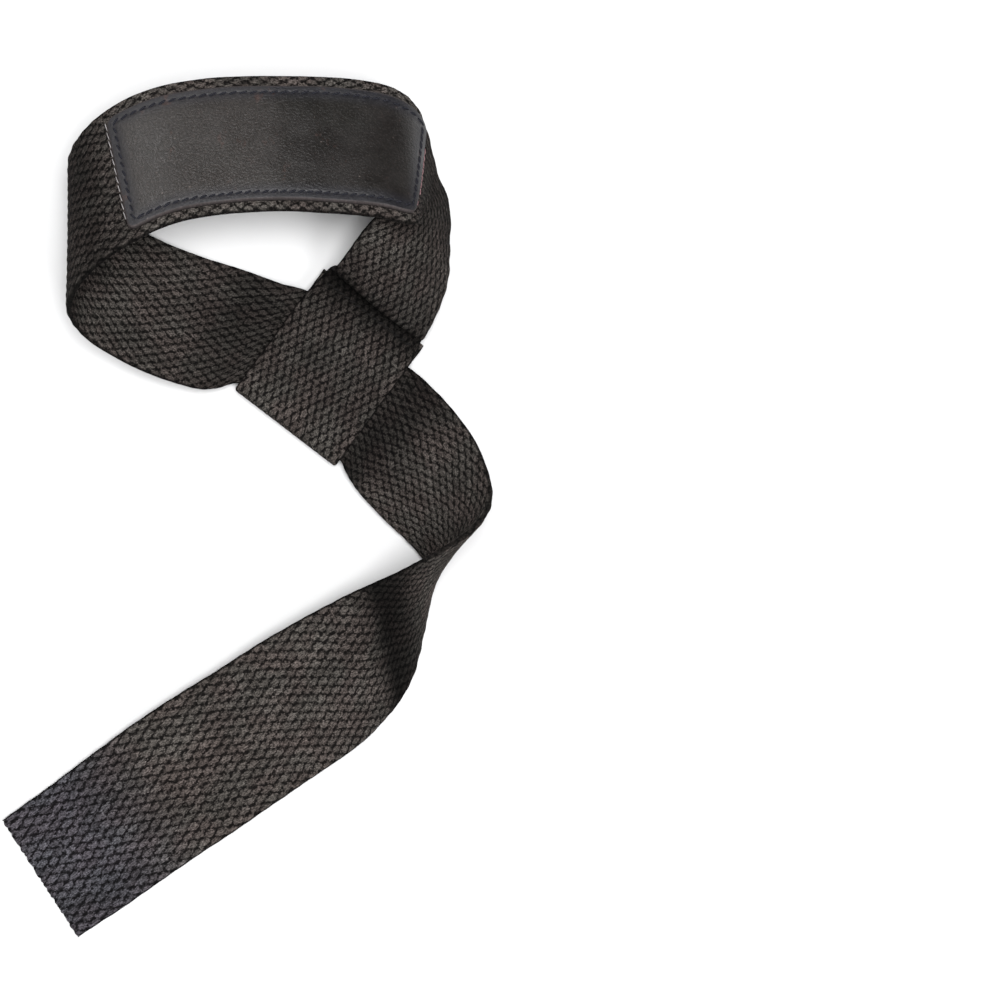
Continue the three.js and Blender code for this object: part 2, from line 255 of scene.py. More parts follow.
# Lay table, as in the frame: the strap's centre from the cut end to the crest above the keeper as
# shares of LAY_SIZE, the line from selvage Q to selvage P in degrees, and its width and bow as
# shares of STRAP_WIDTH.
LAY_ROWS = [
    # name        x       y       z     heading tilt width bow
    ("cut_end", -0.418, -0.433, 0.025, 122, 0, 1.00, 0.00),
    ("tail_a", -0.320, -0.395, 0.034, 122, 0, 1.02, 0.00),
    ("tail_b", -0.218, -0.353, 0.056, 122, 2, 1.04, 0.00),
    ("tail_c", -0.110, -0.311, 0.085, 121, 4, 1.06, 0.00),
    ("tail_d", 0.006, -0.268, 0.113, 119, 7, 1.05, 0.00),
    ("tail_e", 0.114, -0.228, 0.152, 115, 11, 1.06, 0.02),
    ("crease_a", 0.186, -0.202, 0.186, 110, 14, 1.05, 0.04),
    ("ridge", 0.242, -0.179, 0.221, 105, 20, 1.03, 0.06),
    ("valley", 0.281, -0.163, 0.266, 102, 27, 1.02, -0.06),
    ("curl_a", 0.314, -0.142, 0.345, 100, 39, 1.02, -0.03),
    ("curl_b", 0.347, -0.109, 0.430, 95, 56, 0.99, 0.00),
    ("curl_c", 0.374, -0.082, 0.474, 82, 67, 0.99, 0.00),
    ("waist", 0.399, -0.062, 0.480, 60, 67, 1.00, 0.00),
    ("over_a", 0.411, -0.043, 0.455, 46, 60, 1.01, 0.00),
    ("over_b", 0.401, -0.019, 0.394, 35, 49, 0.98, 0.00),
    ("over_c", 0.366, 0.018, 0.297, 37, 33, 0.97, 0.00),
    ("over_d", 0.315, 0.058, 0.182, 41, 15, 0.92, 0.00),
    ("keeper_by", 0.274, 0.087, 0.112, 52, 2, 0.88, 0.00),
    ("keeper_in", 0.255, 0.100, LAYER_SHARE, 54, 0, 0.84, 0.00),
    ("crossing", 0.153, 0.144, LAYER_SHARE, 54, 0, 0.83, 0.00),
    ("keeper_out", 0.050, 0.188, LAYER_SHARE, 54, 0, 0.83, 0.00),
    ("low_0", 0.003, 0.189, 0.098, 58, -2, 0.89, 0.00),
    ("low_a", -0.048, 0.195, 0.106, 66, -9, 0.94, 0.00),
    ("low_b", -0.137, 0.210, 0.139, 70, -14, 0.96, 0.00),
    ("low_c", -0.225, 0.231, 0.176, 73, -19, 0.97, 0.00),
    ("roll_a", -0.299, 0.256, 0.263, 80, -23, 1.00, 0.00),
    ("roll_b", -0.343, 0.281, 0.425, 89, -24, 1.01, 0.00),
    ("roll_c", -0.337, 0.307, 0.600, 94, -23, 1.05, 0.00),
    ("pad_a", -0.305, 0.330, 0.688, 98, -22, 1.04, 0.00),
    ("pad_b", -0.248, 0.355, 0.725, 102, -20, 1.03, 0.00),
    ("pad_c", -0.164, 0.378, 0.750, 101, -18, 1.03, 0.00),
    ("pad_d", -0.056, 0.390, 0.750, 97, -17, 1.03, 0.00),
    ("pad_e", 0.069, 0.394, 0.750, 92, -18, 1.03, 0.00),
    ("pad_f", 0.184, 0.393, 0.725, 86, -20, 1.06, 0.00),
    ("pad_g", 0.268, 0.388, 0.688, 83, -23, 1.06, 0.00),
    ("turn_a", 0.316, 0.378, 0.619, 84, -29, 1.05, 0.00),
    ("turn_b", 0.342, 0.362, 0.527, 80, -42, 0.97, -0.01),
    ("turn_c", 0.350, 0.347, 0.425, 65, -55, 0.86, 0.00),
    ("turn_d", 0.348, 0.331, 0.380, 22, -57, 0.81, 0.04),
    ("turn_e", 0.332, 0.307, 0.356, -16, -49, 0.84, 0.09),
    ("turn_f", 0.315, 0.279, 0.310, -25, -36, 0.86, 0.10),
    ("turn_g", 0.292, 0.252, 0.289, -31, -25, 0.84, 0.10),
    ("crest", 0.266, 0.227, 0.284, -38, -15, 0.83, 0.08),
]
PATCH_FIRST_ROW = "pad_b"
PATCH_LAST_ROW = "turn_a"
PATCH_REACH = 0.55          # how far the patch goes past its last row, in rows

# Camera and light
CAMERA_PLACE = (0.00495, 0.00482, 0.6021)
CAMERA_AIM = (0.07126, 0.00328, 0.0)
CAMERA_LENS = 77.43
CAMERA_SENSOR = 36.0
WORLD_STRENGTH = 0.10
SOFT_BOXES = [
    # name       place                aim               size        watts
    ("top_box", (0.05, 0.05, 1.40), (0.0, 0.0, 0.0), (0.7, 0.7), 34.0),
    ("key_box", (0.56, -0.66, 1.03), (0.0, 0.0, 0.0), (0.6, 0.6), 10.0),
    ("sheen_box", (-0.50, 0.85, 0.80), (0.0, 0.09, 0.03), (0.4, 0.4), 2.9),
]
FLOOR_SIZE = 6.0
FLOOR_DROP = 0.00005
FLOOR_COLOURS = ((0.55, 0.55, 0.555), (0.57, 0.57, 0.57))


def smoothstep(low, high, value):
    share = np.clip((value - low) / (high - low), 0, 1)
    return share * share * (3 - 2 * share)


def unit(vectors):
    return vectors / np.maximum(np.linalg.norm(vectors, axis=-1, keepdims=True), 1e-12)


# Strap surface

def cross_line(heading, tilt):
    heading, tilt = math.radians(heading), math.radians(tilt)
    flat = math.cos(tilt)
    return np.array([flat * math.cos(heading), flat * math.sin(heading), math.sin(tilt)])


def lay_row(name, x, y, z, heading, tilt, width, bow):
    centre = np.array([x, y, z]) * LAY_SIZE
    return name, centre, cross_line(heading, tilt), width, bow


def keeper_row(name, distance, height, width=KEEPER_WIDTH_SHARE, tilt=0):
    """A row of the keeper, by its distance from the fold and its height."""
    heading = math.radians(KEEPER_HEADING)
    centre = np.array([
        FOLD_CENTRE[0] * LAY_SIZE[0] + distance * math.cos(heading),
        FOLD_CENTRE[1] * LAY_SIZE[1] + distance * math.sin(heading),
        height,
    ])
    return name, centre, cross_line(KEEPER_CROSS, tilt), width, 0.0


def keeper_rows():
    radius = (FRONT_HEIGHT - RETURN_HEIGHT) / 2
    start = radius + WEBBING_THICKNESS / 2
    rows = [
        keeper_row("wall", WALL_DISTANCE, FRONT_HEIGHT + WALL_RISE, WALL_WIDTH_SHARE, WALL_TILT),
        keeper_row("step", STEP_DISTANCE, FRONT_HEIGHT + STEP_RISE, STEP_WIDTH_SHARE, STEP_TILT),
        keeper_row("front_a", FRONT_LENGTH, FRONT_HEIGHT),
        keeper_row("front_b", FAR_SHARE * FRONT_LENGTH, FRONT_HEIGHT),
        keeper_row("front_c", NEAR_SHARE * FRONT_LENGTH, FRONT_HEIGHT),
    ]
    for step in range(FOLD_STEPS + 1):
        angle = math.pi * step / FOLD_STEPS
        height = PASSING_HEIGHT + radius * math.cos(angle)
        rows.append(keeper_row("fold", start - radius * math.sin(angle), height))
    rows.append(keeper_row("return_a", NEAR_SHARE * FRONT_LENGTH, RETURN_HEIGHT))
    rows.append(keeper_row("return_b", FAR_SHARE * FRONT_LENGTH, RETURN_HEIGHT))
    for step in range(SEAM_STEPS + 1):
        share = step / SEAM_STEPS
        smoother = share ** 3 * (share * (6 * share - 15) + 10)
        height = RETURN_HEIGHT + LAYER_PITCH * smoother
        rows.append(keeper_row("seam", RETURN_FLAT + share * SEAM_RUN, height))
    rows.append(keeper_row("return_end", RETURN_LENGTH, PASSING_HEIGHT))
    return rows


def catmull_rom(points, t):
    """Centripetal curve through the points, at the parameters t, which count the points."""
    padded = np.vstack([2 * points[0] - points[1], points, 2 * points[-1] - points[-2]])
    first = np.clip(np.floor(t).astype(int), 0, len(points) - 2)
    share = (t - first)[:, None]
    p0, p1, p2, p3 = (padded[first + k] for k in range(4))
    d0 = np.sqrt(np.linalg.norm(p1 - p0, axis=1))[:, None]
    d1 = np.sqrt(np.linalg.norm(p2 - p1, axis=1))[:, None]
    d2 = np.sqrt(np.linalg.norm(p3 - p2, axis=1))[:, None]
    m1 = ((p1 - p0) / d0 - (p2 - p0) / (d0 + d1) + (p2 - p1) / d1) * d1
    m2 = ((p2 - p1) / d1 - (p3 - p1) / (d1 + d2) + (p3 - p2) / d2) * d1
    square, cube = share ** 2, share ** 3
    return (
        (2 * cube - 3 * square + 1) * p1
        + (cube - 2 * square + share) * m1
        + (3 * square - 2 * cube) * p2
        + (cube - square) * m2
    )


class Strap:
    """The strap's middle surface. t counts the rows, v runs from selvage Q to selvage P."""

    def __init__(self):
        rows = [lay_row(*row) for row in LAY_ROWS] + keeper_rows()
        self.names = [row[0] for row in rows]
        self.last = len(rows) - 1
        self.lines = {"q": [], "m": [], "p": []}
        for i, (_, centre, cross, width, bow) in enumerate(rows):
            along = unit(rows[min(i + 1, self.last)][1] - rows[max(i - 1, 0)][1])
            face = unit(np.cross(along, cross))
            half = width * STRAP_WIDTH / 2
            self.lines["q"].append(centre - half * cross)
            self.lines["p"].append(centre + half * cross)
            self.lines["m"].append(centre + bow * STRAP_WIDTH * face)
        self.lines = {name: np.array(points) for name, points in self.lines.items()}
        self.shift = np.zeros(3)
        self.shift = self.shift_to_frame()
        fine = np.linspace(0, self.last, CURVE_STEPS * self.last)
        middle = self.points(fine, np.array([0.5]))[:, 0]
        steps = np.linalg.norm(np.diff(middle, axis=0), axis=1)
        self.fine = fine
        self.fine_length = np.concatenate([[0], np.cumsum(steps)])
        self.length = self.fine_length[-1]

    def points(self, t, v):
        """Grid of points with a row for each t. v is one list of places, or has a row for each t."""
        t = np.clip(np.asarray(t, float), 0, self.last)
        v = np.broadcast_to(np.asarray(v, float), (len(t), np.shape(v)[-1]))[:, :, None]
        q, m, p = (catmull_rom(self.lines[name], t)[:, None, :] for name in ("q", "m", "p"))
        surface = q * (1 - v) * (1 - 2 * v) + m * 4 * v * (1 - v) + p * v * (2 * v - 1)
        return surface + self.shift

    def normals(self, t, v):
        """Direction out of the patch side of the webbing."""
        t = np.asarray(t, float)
        along = self.points(t + NORMAL_STEP, v) - self.points(t - NORMAL_STEP, v)
        across = self.points(t, v + NORMAL_STEP) - self.points(t, v - NORMAL_STEP)
        return unit(np.cross(along, across))

    def shift_to_frame(self):
        """Where the frame's webbing lies, against the bare lay table."""
        t = np.linspace(0, self.last, BOX_STEPS * self.last)
        v = np.linspace(0, 1, BOX_COLUMNS)
        offset = self.normals(t, v) * WEBBING_THICKNESS / 2
        offset[:, [0, -1]] *= RIM_THICKNESS_SHARE
        middle = self.points(t, v)
        cloud = np.concatenate([middle + offset, middle - offset]).reshape(-1, 3)
        low, high = (np.array(corner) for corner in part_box("webbing"))
        shift = (low + high) / 2 - (cloud.min(0) + cloud.max(0)) / 2
        shift[2] = low[2] - cloud[:, 2].min()
        return shift

    def row(self, name):
        return self.names.index(name)

    def at_length(self, length):
        return np.interp(length, self.fine_length, self.fine)

    def length_at(self, t):
        return np.interp(t, self.fine, self.fine_length)


# Meshes

def lay_flat(mesh, faces, rows, columns, strips):
    """Texture map with both faces cut into stacked strips, and the rims folded out beside them."""
    side, place = np.divmod(faces, rows * columns)
    i, j = np.divmod(place, columns)
    rim = side.min(axis=1, keepdims=True) != side.max(axis=1, keepdims=True)
    outward = np.where(rim & (side == 1), MAP_RIM, 0.0)
    strip_rows = math.ceil((rows - 1) / strips)
    strip = i.min(axis=1, keepdims=True) // strip_rows
    across = j / (columns - 1)
    across = across + outward * np.select([j == 0, j == columns - 1], [-1, 1], 0)
    along = (i - strip * strip_rows) / strip_rows
    across = MAP_MARGIN + (1 - 2 * MAP_MARGIN) * across
    along = MAP_MARGIN + (1 - 2 * MAP_MARGIN) * along
    level = strip + strips * side.min(axis=1, keepdims=True)
    places = np.stack([along, (level + across) / (2 * strips)], axis=-1)
    layer = mesh.uv_layers.new(name="OFBake")
    layer.data.foreach_set("uv", places.astype(np.float32).ravel())


def closed_sheet(name, upper, lower, facts, strips=1):
    """Mesh between two grids of points. facts holds, for each vector attribute, its two grids."""
    rows, columns = upper.shape[:2]
    index = np.arange(2 * rows * columns).reshape(2, rows, columns)

    def quads(a, b, c, d):
        return np.stack([a, b, c, d], axis=-1).reshape(-1, 4)

    top, bottom = index
    faces = np.concatenate([
        quads(top[:-1, :-1], top[1:, :-1], top[1:, 1:], top[:-1, 1:]),
        quads(bottom[:-1, :-1], bottom[:-1, 1:], bottom[1:, 1:], bottom[1:, :-1]),
        quads(top[:-1, 0], bottom[:-1, 0], bottom[1:, 0], top[1:, 0]),
        quads(top[:-1, -1], top[1:, -1], bottom[1:, -1], bottom[:-1, -1]),
        quads(top[0, :-1], top[0, 1:], bottom[0, 1:], bottom[0, :-1]),
        quads(top[-1, :-1], bottom[-1, :-1], bottom[-1, 1:], top[-1, 1:]),
    ])
    points = np.concatenate([upper.reshape(-1, 3), lower.reshape(-1, 3)])
    mesh = bpy.data.meshes.new(name)
    mesh.from_pydata(points.tolist(), [], faces.tolist())
    lay_flat(mesh, faces, rows, columns, strips)
    for key, (first, second) in facts.items():
        values = np.concatenate([first.reshape(-1, 3), second.reshape(-1, 3)])
        attribute = mesh.attributes.new(key, "FLOAT_VECTOR", "POINT")
        attribute.data.foreach_set("vector", values.astype(np.float32).ravel())
    return add_piece(name, mesh)


def add_piece(name, mesh):
    mesh.validate()
    mesh.polygons.foreach_set("use_smooth", [True] * len(mesh.polygons))
    mesh.update()
    piece = bpy.data.objects.new(name, mesh)
    bpy.context.scene.collection.objects.link(piece)
    return piece


def thread_tubes(name, paths, radius, sides=THREAD_SIDES):
    """Mesh of one thread for each path, which tapers and closes at both ends."""
    points, faces = [], []
    for path in paths:
        path = np.asarray(path)
        along = unit(np.gradient(path, axis=0))
        side = unit(np.cross(along, THREAD_GUIDE))
        other = np.cross(along, side)
        share = np.linspace(0, 1, len(path))
        taper = np.sqrt(np.clip(1 - np.abs(2 * share - 1) ** THREAD_TAPER, THREAD_TIP, 1))
        turns = np.arange(sides) * 2 * math.pi / sides
        ring = side[:, None] * np.cos(turns)[:, None] + other[:, None] * np.sin(turns)[:, None]
        tube = path[:, None] + radius * taper[:, None, None] * ring
        start = len(points)
        points.extend(tube.reshape(-1, 3).tolist())
        for i in range(len(path) - 1):
            for k in range(sides):
                a = start + i * sides + k
                b = start + i * sides + (k + 1) % sides
                faces.append((a, b, b + sides, a + sides))
        faces.append(tuple(start + k for k in reversed(range(sides))))
        end = start + (len(path) - 1) * sides
        faces.append(tuple(end + k for k in range(sides)))
    mesh = bpy.data.meshes.new(name)
    mesh.from_pydata(points, [], faces)
    return add_piece(name, mesh)


# Webbing

def float_relief(length, across, back):
    """Height of the brick-laid warp floats, from 0 in the pits to 1 on a float's crown."""
    half_pitches = 2 * length / FLOAT_PITCH + back
    row = across * WARP_ROWS - 0.5
    first, second = (half_pitches + row) / 2, (half_pitches - row) / 2
    cell = np.round(first).astype(int), np.round(second).astype(int)
    first, second = first - cell[0], second - cell[1]
    reach = np.hypot((first + second) / FLOAT_LENGTH, (first - second) / FLOAT_WIDTH)
    crowns = np.random.default_rng(CROWN_SEED).uniform(*CROWN_SPREAD, (CELLS, CELLS))
    return (1 - smoothstep(*FLOAT_SLOPE, reach)) * crowns[cell[0] % CELLS, cell[1] % CELLS]


def weave_length(length):
    """Length along the strap as the weave counts it, which is looser near the cut end."""
    grid = np.linspace(0, LONGEST, LENGTH_STEPS)
    tightness = TAIL_STRETCH + (1 - TAIL_STRETCH) * smoothstep(*TAIL_STRETCH_ENDS, grid)
    return np.interp(length, grid, np.cumsum(tightness) * (grid[1] - grid[0]))


def webbing_columns():
    """Places of the columns across the strap: each warp row's crown and border, and the rims."""
    row = 1 / WARP_ROWS
    rim = np.array(RIM_COLUMNS) / STRAP_WIDTH
    inner = np.arange(1, 2 * WARP_ROWS) * row / 2
    return np.concatenate([rim, inner, 1 - rim[::-1]])


def selvage_wobble(lengths, random):
    """Small sideways waver of both selvages, as a share of the width."""
    waves = [
        random.uniform(*WOBBLE_SHARE)
        * np.sin(lengths / wave * 2 * math.pi + random.uniform(0, WOBBLE_PHASE))
        for wave in WOBBLE_WAVES
    ]
    return sum(waves) * SELVAGE_WOBBLE / 2 / STRAP_WIDTH


def rim_rounding(columns):
    """Share of the half thickness that is left in each column, least at the selvages."""
    reach = np.minimum(columns, 1 - columns) * STRAP_WIDTH / SELVAGE_RADIUS
    rounding = np.sqrt(np.clip(1 - np.clip(1 - reach, 0, 1) ** 2, 0, 1))
    return np.maximum(rounding, RIM_LEAST)


def pressed_share(strap, lengths):
    """How much the weave is pressed flat at each length, most in the middle of the keeper's fold."""
    fold = strap.length_at(strap.row("fold")) + math.pi * (FRONT_HEIGHT - RETURN_HEIGHT) / 4
    away = np.abs(lengths - fold)
    return FOLD_CALM * smoothstep(FOLD_REACH, FOLD_CORE * FOLD_REACH, away)


def build_webbing(strap):
    step = FLOAT_PITCH / STATIONS_PER_PITCH
    lengths = np.arange(int(strap.length / step) + 1) * step
    weave = weave_length(lengths)
    t = strap.at_length(lengths)
    columns = webbing_columns()
    random = np.random.default_rng(WOBBLE_SEED)
    wobble = selvage_wobble(lengths, random)
    v = columns[None, :] + wobble[:, None]
    scallop = SELVAGE_SCALLOP / STRAP_WIDTH * np.cos(weave * 2 * math.pi / FLOAT_PITCH)
    v[:, 0] -= scallop
    v[:, -1] -= scallop
    ends = smoothstep(FRAY_STATIONS * step, 0, lengths)[:, None]
    fray = ends * random.uniform(-1, 1, (1, len(columns))) * END_FRAY
    points = strap.points(t, v)
    along = unit(np.gradient(points, axis=0))
    points = points + fray[:, :, None] * along
    normals = strap.normals(t, v)
    round_off = rim_rounding(columns)[None, :]
    core = WEBBING_THICKNESS / 2 - FLOAT_HEIGHT
    pressed = pressed_share(strap, lengths)[:, None]
    faces, facts = [], []
    for back in (0, 1):
        relief = float_relief(weave[:, None], columns[None, :], back)
        relief += pressed * (PRESSED_RELIEF - relief)
        height = round_off * (core + FLOAT_HEIGHT * relief)
        faces.append(points + (1 - 2 * back) * height[:, :, None] * normals)
        grid = np.zeros(points.shape)
        grid[:, :, 0] = weave[:, None]
        grid[:, :, 1] = columns[None, :] * STRAP_WIDTH
        grid[:, :, 2] = back
        facts.append(grid)
    webbing = closed_sheet("woven_webbing", *faces, {"strap_place": facts}, MAP_STRIPS)
    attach(webbing, "root")
    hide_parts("webbing")
    return webbing


# Leather patch

class PatchPlan:
    """The patch on the strap: x runs along it and y across it, both in metres."""

    def __init__(self, strap):
        self.strap = strap
        self.start = strap.length_at(strap.row(PATCH_FIRST_ROW))
        self.length = strap.length_at(strap.row(PATCH_LAST_ROW) + PATCH_REACH) - self.start
        self.width = STRAP_WIDTH - PATCH_MARGIN_Q - PATCH_MARGIN_P
        self.bottom = WEBBING_THICKNESS / 2 + LEATHER_LIFT
        self.top = self.bottom + LEATHER_THICKNESS

    def edge_distance(self, x, y):
        """Distance inwards from the outline with its rounded corners."""
        dx = np.abs(x - self.length / 2) - (self.length / 2 - PATCH_CORNER)
        dy = np.abs(y - self.width / 2) - (self.width / 2 - PATCH_CORNER)
        outside = np.hypot(np.maximum(dx, 0), np.maximum(dy, 0))
        return PATCH_CORNER - outside - np.minimum(np.maximum(dx, dy), 0)

    def surface_height(self, x, y):
        """Height of the leather's face over the strap's middle surface."""
        edge = np.maximum(self.edge_distance(x, y), 0)
        rounding = np.clip(1 - edge / PATCH_EDGE_ROUND, 0, 1)
        rim = LEATHER_THICKNESS * EDGE_DROP * (1 - np.sqrt(np.clip(1 - rounding ** 2, 0, 1)))
        groove = SEAM_GROOVE_DEPTH * np.exp(-((edge - SEAM_INSET) / SEAM_GROOVE_WIDTH) ** 2)
        sag = EDGE_SAG * smoothstep(SAG_REACH * SEAM_INSET, 0, edge)
        return self.top - rim - groove - sag

    def place(self, x, y, height):
        """Points over the strap for flat lists of x and y."""
        x, y, height = np.broadcast_arrays(x, y, height)
        t = self.strap.at_length(self.start + x.ravel())
        v = ((PATCH_MARGIN_Q + y.ravel()) / STRAP_WIDTH)[:, None]
        points = self.strap.points(t, v)[:, 0]
        normals = self.strap.normals(t, v)[:, 0]
        return (points + height.ravel()[:, None] * normals).reshape(x.shape + (3,))


def dense_ends(count, crowding):
    """Shares from 0 to 1 that crowd together near both ends."""
    share = np.linspace(0, 1, count)
    return share - crowding * np.sin(2 * math.pi * share) / (2 * math.pi)


def build_patch(plan):
    along = dense_ends(PATCH_GRID[0], PATCH_CROWDING[0])[:, None] * plan.length
    across = dense_ends(PATCH_GRID[1], PATCH_CROWDING[1])[None, :]
    short = np.clip(PATCH_CORNER - np.minimum(along, plan.length - along), 0, PATCH_CORNER)
    inset = PATCH_CORNER - np.sqrt(PATCH_CORNER ** 2 - short ** 2)
    x = np.broadcast_to(along, PATCH_GRID)
    y = inset + (plan.width - 2 * inset) * across
    upper = plan.place(x, y, plan.surface_height(x, y))
    lower = plan.place(x, y, plan.bottom)
    facts = np.stack([x, y, plan.edge_distance(x, y)], axis=-1)
    patch = closed_sheet("leather_cover", upper, lower, {"patch_place": [facts, facts]})
    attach(patch, "root")
    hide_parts("leather_patch")
    return patch


def seam_loop(plan, inset, corner):
    """Dense closed line round the patch at that inset, as x and y."""
    half = np.array([plan.length / 2 - inset, plan.width / 2 - inset])
    line = []
    for turn in range(4):
        centre = (half - corner) * [(1, 1), (-1, 1), (-1, -1), (1, -1)][turn]
        for angle in np.linspace(0, math.pi / 2, CORNER_POINTS) + turn * math.pi / 2:
            line.append(centre + corner * np.array([math.cos(angle), math.sin(angle)]))
    line.append(line[0])
    return np.array(line) + [plan.length / 2, plan.width / 2]


def walk(line, pitch):
    """Middle and direction of each stitch along a line, with the pitch that fills it evenly."""
    steps = np.linalg.norm(np.diff(line, axis=0), axis=1)
    reach = np.concatenate([[0], np.cumsum(steps)])
    count = max(1, round(reach[-1] / pitch))
    pitch = reach[-1] / count
    middles = (np.arange(count) + 0.5) * pitch

    def at(distance):
        return np.stack([np.interp(distance, reach, line[:, k]) for k in (0, 1)], axis=-1)

    return at(middles), unit(at(middles + pitch / 4) - at(middles - pitch / 4)), pitch


def stitch_paths(line, pitch, slant, lift):
    """Short slanted arcs in x and y along a line. lift(x, y, bulge) gives the thread's points."""
    random = np.random.default_rng(STITCH_SEED)
    middles, directions, pitch = walk(line, pitch)
    share = np.linspace(-1, 1, STITCH_POINTS)
    for middle, direction in zip(middles, directions):
        aside = np.array([-direction[1], direction[0]])
        lean = slant * random.uniform(*SLANT_SPREAD)
        half = STITCH_SHARE * pitch / 2 * random.uniform(*LENGTH_SPREAD)
        places = middle + share[:, None] * (half * direction + lean * aside)
        yield lift(places[:, 0], places[:, 1], 1 - share ** 2)


def build_patch_stitching(plan):
    """Thread on the leather's face and, under the strap, on the webbing's back."""
    line = seam_loop(plan, SEAM_INSET, SEAM_CORNER)

    def on_face(x, y, bulge):
        ground = plan.surface_height(x, y) - STITCH_RADIUS * STITCH_SINK
        return plan.place(x, y, ground + FACE_BULGE * STITCH_RADIUS * bulge)

    def on_back(x, y, bulge):
        ground = -WEBBING_THICKNESS / 2 + STITCH_RADIUS * STITCH_SINK
        return plan.place(x, y, ground - BACK_BULGE * STITCH_RADIUS * bulge)

    pieces = []
    for name, lift in (("patch_stitching", on_face), ("patch_stitching_back", on_back)):
        paths = list(stitch_paths(line, STITCH_PITCH, STITCH_SLANT, lift))
        pieces.append(thread_tubes(name, paths, STITCH_RADIUS))
    for piece in pieces:
        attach(piece, "root")
    return pieces


def build_keeper_seam(strap):
    """Row of stitches through the keeper's front layer, just below the crest."""
    steps = np.linspace(strap.row("step"), strap.row("front_a"), SEAM_SEARCH_STEPS)
    fold = strap.row("fold")
    reach = np.abs(strap.length_at(steps) - strap.length_at(fold))
    t = np.interp(-SEAM_DISTANCE, -reach, steps)
    start = strap.length_at(t)
    line = np.array([[start, share * STRAP_WIDTH] for share in SEAM_SPAN])

    def on_strap(x, y, bulge):
        rows = strap.at_length(x)
        v = (y / STRAP_WIDTH)[:, None]
        points, normals = strap.points(rows, v)[:, 0], strap.normals(rows, v)[:, 0]
        up = np.sign(normals[:, 2:])
        height = WEBBING_THICKNESS / 2 - STITCH_RADIUS + KEEPER_BULGE * STITCH_RADIUS * bulge
        return points + up * height[:, None] * normals

    paths = list(stitch_paths(line, SEAM_STITCH_PITCH, STITCH_SLANT, on_strap))
    seam = thread_tubes("keeper_seam", paths, STITCH_RADIUS)
    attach(seam, "root")
    return seam


def end_thread(plan, x, span):
    """Short lengths of loose thread along one end of the patch, at that distance from its start."""
    line = np.array([[x, share * plan.width] for share in span])

    def on_end(x, y, bulge):
        ground = plan.top - LOOSE_THREAD_DEPTH * LEATHER_THICKNESS
        return plan.place(x, y, ground + LOOSE_THREAD_RADIUS * bulge)

    return list(stitch_paths(line, STITCH_PITCH, LOOSE_THREAD_RADIUS, on_end))


def build_loose_threads(plan):
    """Pale thread along the patch's start, pink thread and its loop at the patch's end."""
    pale_paths = end_thread(plan, -LOOSE_THREAD_RADIUS, PALE_THREAD_SPAN)
    pale = thread_tubes("pale_thread", pale_paths, LOOSE_THREAD_RADIUS)
    beside = plan.length + LOOSE_THREAD_RADIUS
    pink_paths = end_thread(plan, beside, PINK_THREAD_SPAN)
    turns = np.linspace(0, 2 * math.pi, LOOP_POINTS)
    x = beside + PINK_LOOP_RADIUS * PINK_LOOP_FLATTENING * np.cos(turns)
    y = PINK_LOOP_PLACE * plan.width + PINK_LOOP_RADIUS * np.sin(turns)
    pink_paths.append(plan.place(x, y, plan.bottom + LOOSE_THREAD_RADIUS * (1 + np.cos(turns))))
    pink = thread_tubes("pink_thread", pink_paths, LOOSE_THREAD_RADIUS)
    for piece in (pale, pink):
        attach(piece, "root")
    return pale, pink


# Materials

def new_node(tree, kind, inputs=None, **settings):
    node = tree.nodes.new(kind)
    for key, value in settings.items():
        setattr(node, key, value)
    for key, value in (inputs or {}).items():
        if isinstance(value, bpy.types.NodeSocket):
            tree.links.new(value, node.inputs[key])
        else:
            node.inputs[key].default_value = value
    return node


def compute(tree, operation, *values):
    return new_node(tree, "ShaderNodeMath", dict(enumerate(values)), operation=operation).outputs[0]


def ramp(tree, value, low, high, to_low=0.0, to_high=1.0):
    node = new_node(tree, "ShaderNodeMapRange", {
        "Value": value, "From Min": low, "From Max": high, "To Min": to_low, "To Max": to_high,
    }, interpolation_type="SMOOTHSTEP")
    return node.outputs["Result"]


def mix_colour(tree, share, first, second, blend="MIX"):
    node = new_node(tree, "ShaderNodeMix", data_type="RGBA", blend_type=blend)
    for place, value in ((0, share), (6, first), (7, second)):
        socket = node.inputs[place]
        if isinstance(value, bpy.types.NodeSocket):
            tree.links.new(value, socket)
        elif isinstance(value, (tuple, list)):
            socket.default_value = (*value, 1.0)
        else:
            socket.default_value = value
    return node.outputs[2]


def noise(tree, place, scale=1.0, detail=2.0, roughness=0.5):
    node = new_node(tree, "ShaderNodeTexNoise", {
        "Vector": place, "Scale": scale, "Detail": detail, "Roughness": roughness,
    })
    return node.outputs["Fac"]


def start_material(name, roughness, specular):
    material = bpy.data.materials.new(name)
    material.use_nodes = True
    tree = material.node_tree
    tree.nodes.clear()
    shader = new_node(tree, "ShaderNodeBsdfPrincipled", {
        "Roughness": roughness, "Specular IOR Level": specular,
    })
    new_node(tree, "ShaderNodeOutputMaterial", {"Surface": shader.outputs[0]})
    return material, tree, shader


def scale_colour(tree, colour, factor):
    """Colour times a computed grey."""
    channels = {"Red": factor, "Green": factor, "Blue": factor}
    grey = new_node(tree, "ShaderNodeCombineColor", channels)
    return mix_colour(tree, 1.0, colour, grey.outputs[0], "MULTIPLY")


def scaled(tree, place, factors, offset=(0.0, 0.0, 0.0)):
    settings = {"Vector": place, "Scale": factors, "Location": offset}
    node = new_node(tree, "ShaderNodeMapping", settings)
    return node.outputs["Vector"]


def squared_share(tree, value, whole):
    """Square of a value's share of the whole."""
    share = compute(tree, "DIVIDE", value, whole)
    return compute(tree, "POWER", compute(tree, "ABSOLUTE", share), 2.0)


def add_bump(tree, shader, height, strength, distance):
    settings = {"Height": height, "Strength": strength, "Distance": distance}
    bump = new_node(tree, "ShaderNodeBump", settings)
    tree.links.new(bump.outputs[0], shader.inputs["Normal"])


